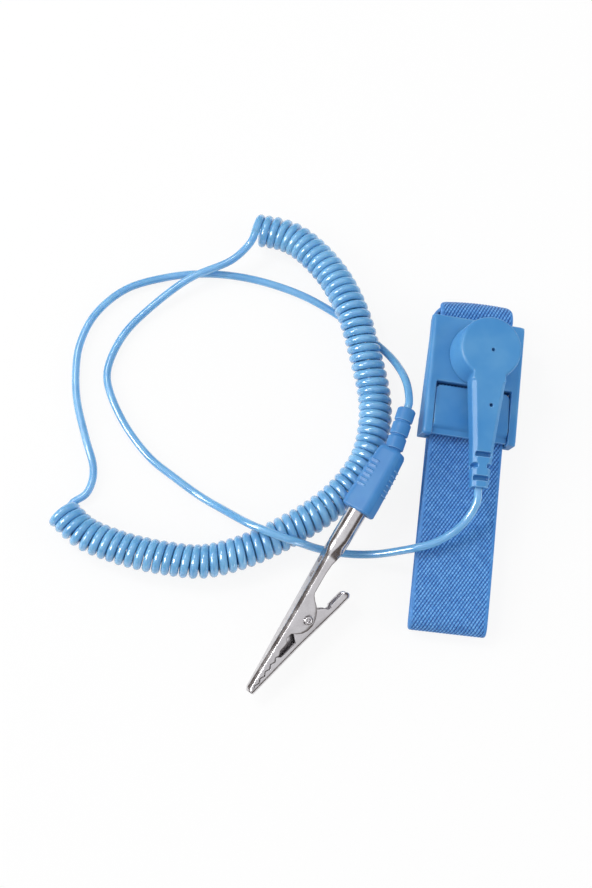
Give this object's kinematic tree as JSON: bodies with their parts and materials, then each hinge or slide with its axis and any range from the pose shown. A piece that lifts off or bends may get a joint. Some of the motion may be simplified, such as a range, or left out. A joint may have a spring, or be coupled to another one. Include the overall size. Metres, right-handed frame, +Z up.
{
  "type": "esd wrist strap",
  "caption": "Elastic wristband with a clasp buckle and snap head, on a curly grounding cord that ends in a plug with a spring clip.",
  "frame": {"origin": "on the table, under the middle of the wristband with its buckle", "axes": "+Z up from the table, +Y along the wristband towards its buckle end, +X away from the coiled cord"},
  "size_m": [0.1179, 0.1267, 0.0236],
  "materials": {
    "webbing": "ribbed woven elastic",
    "moulding": "satin",
    "cord_jacket": "smooth, glossy",
    "stainless": "fine brushed",
    "nickel": "nickel plated",
    "spring_steel": "plain",
    "ceramic": "satin",
    "copper": "plain"
  },
  "bodies": {
    "strap": {"wrist_band": "webbing", "buckle_frame": "moulding", "clasp_pin": "spring_steel", "skin_plate": "stainless", "stud_rivet": "stainless", "snap_stud": "nickel", "cord_wrist_lead": "cord_jacket", "cord_coil": "cord_jacket", "cord_clip_lead": "cord_jacket", "plug_boot": "moulding", "plug_wire": "copper", "plug_pin": "nickel"},
    "clasp": {"clasp_lever": "moulding"},
    "snap": {"head_shell": "moulding", "head_base": "moulding", "snap_socket": "nickel", "socket_ring": "spring_steel", "resistor": "ceramic", "resistor_lead_front": "copper", "resistor_lead_back": "copper"},
    "sleeve": {"pin_leaves": "spring_steel"},
    "clip": {"clip_fixed_jaw": "nickel", "jaw_rivet": "nickel", "jaw_spring": "spring_steel"},
    "jaw": {"clip_moving_jaw": "nickel"}
  },
  "joints": [
    {"name": "clasp_lever", "type": "hinge", "parent": "strap", "child": "clasp", "pos_m": [0.00054, 0.00855, 0.01075], "axis": [0.9797, -0.101, -0.1733], "range_deg": [0, 14]},
    {"name": "snap_head", "type": "hinge", "parent": "strap", "child": "snap", "pos_m": [0.00374, 0.02607, 0.01345], "axis": [0.1657, -0.0794, 0.983], "range_deg": [-15, 40], "deforming": ["cord_wrist_lead"]},
    {"name": "pin_sleeve", "type": "hinge", "parent": "strap", "child": "sleeve", "pos_m": [-0.0277, -0.0132, 0.0106], "axis": [-0.5152, -0.8473, -0.1288], "range_deg": [-4, 75]},
    {"name": "clip", "type": "slide", "parent": "sleeve", "child": "clip", "axis": [-0.5152, -0.8473, -0.1288], "range_m": [0, 0.013]},
    {"name": "clip_jaw", "type": "hinge", "parent": "clip", "child": "jaw", "pos_m": [-0.04043, -0.03896, 0.00586], "axis": [0.258, -0.2967, 0.9195], "range_deg": [0, 25], "stiffness_Nm_per_rad": 0.02, "springref_deg": -22.92, "deforming": ["jaw_spring"]}
  ]
}
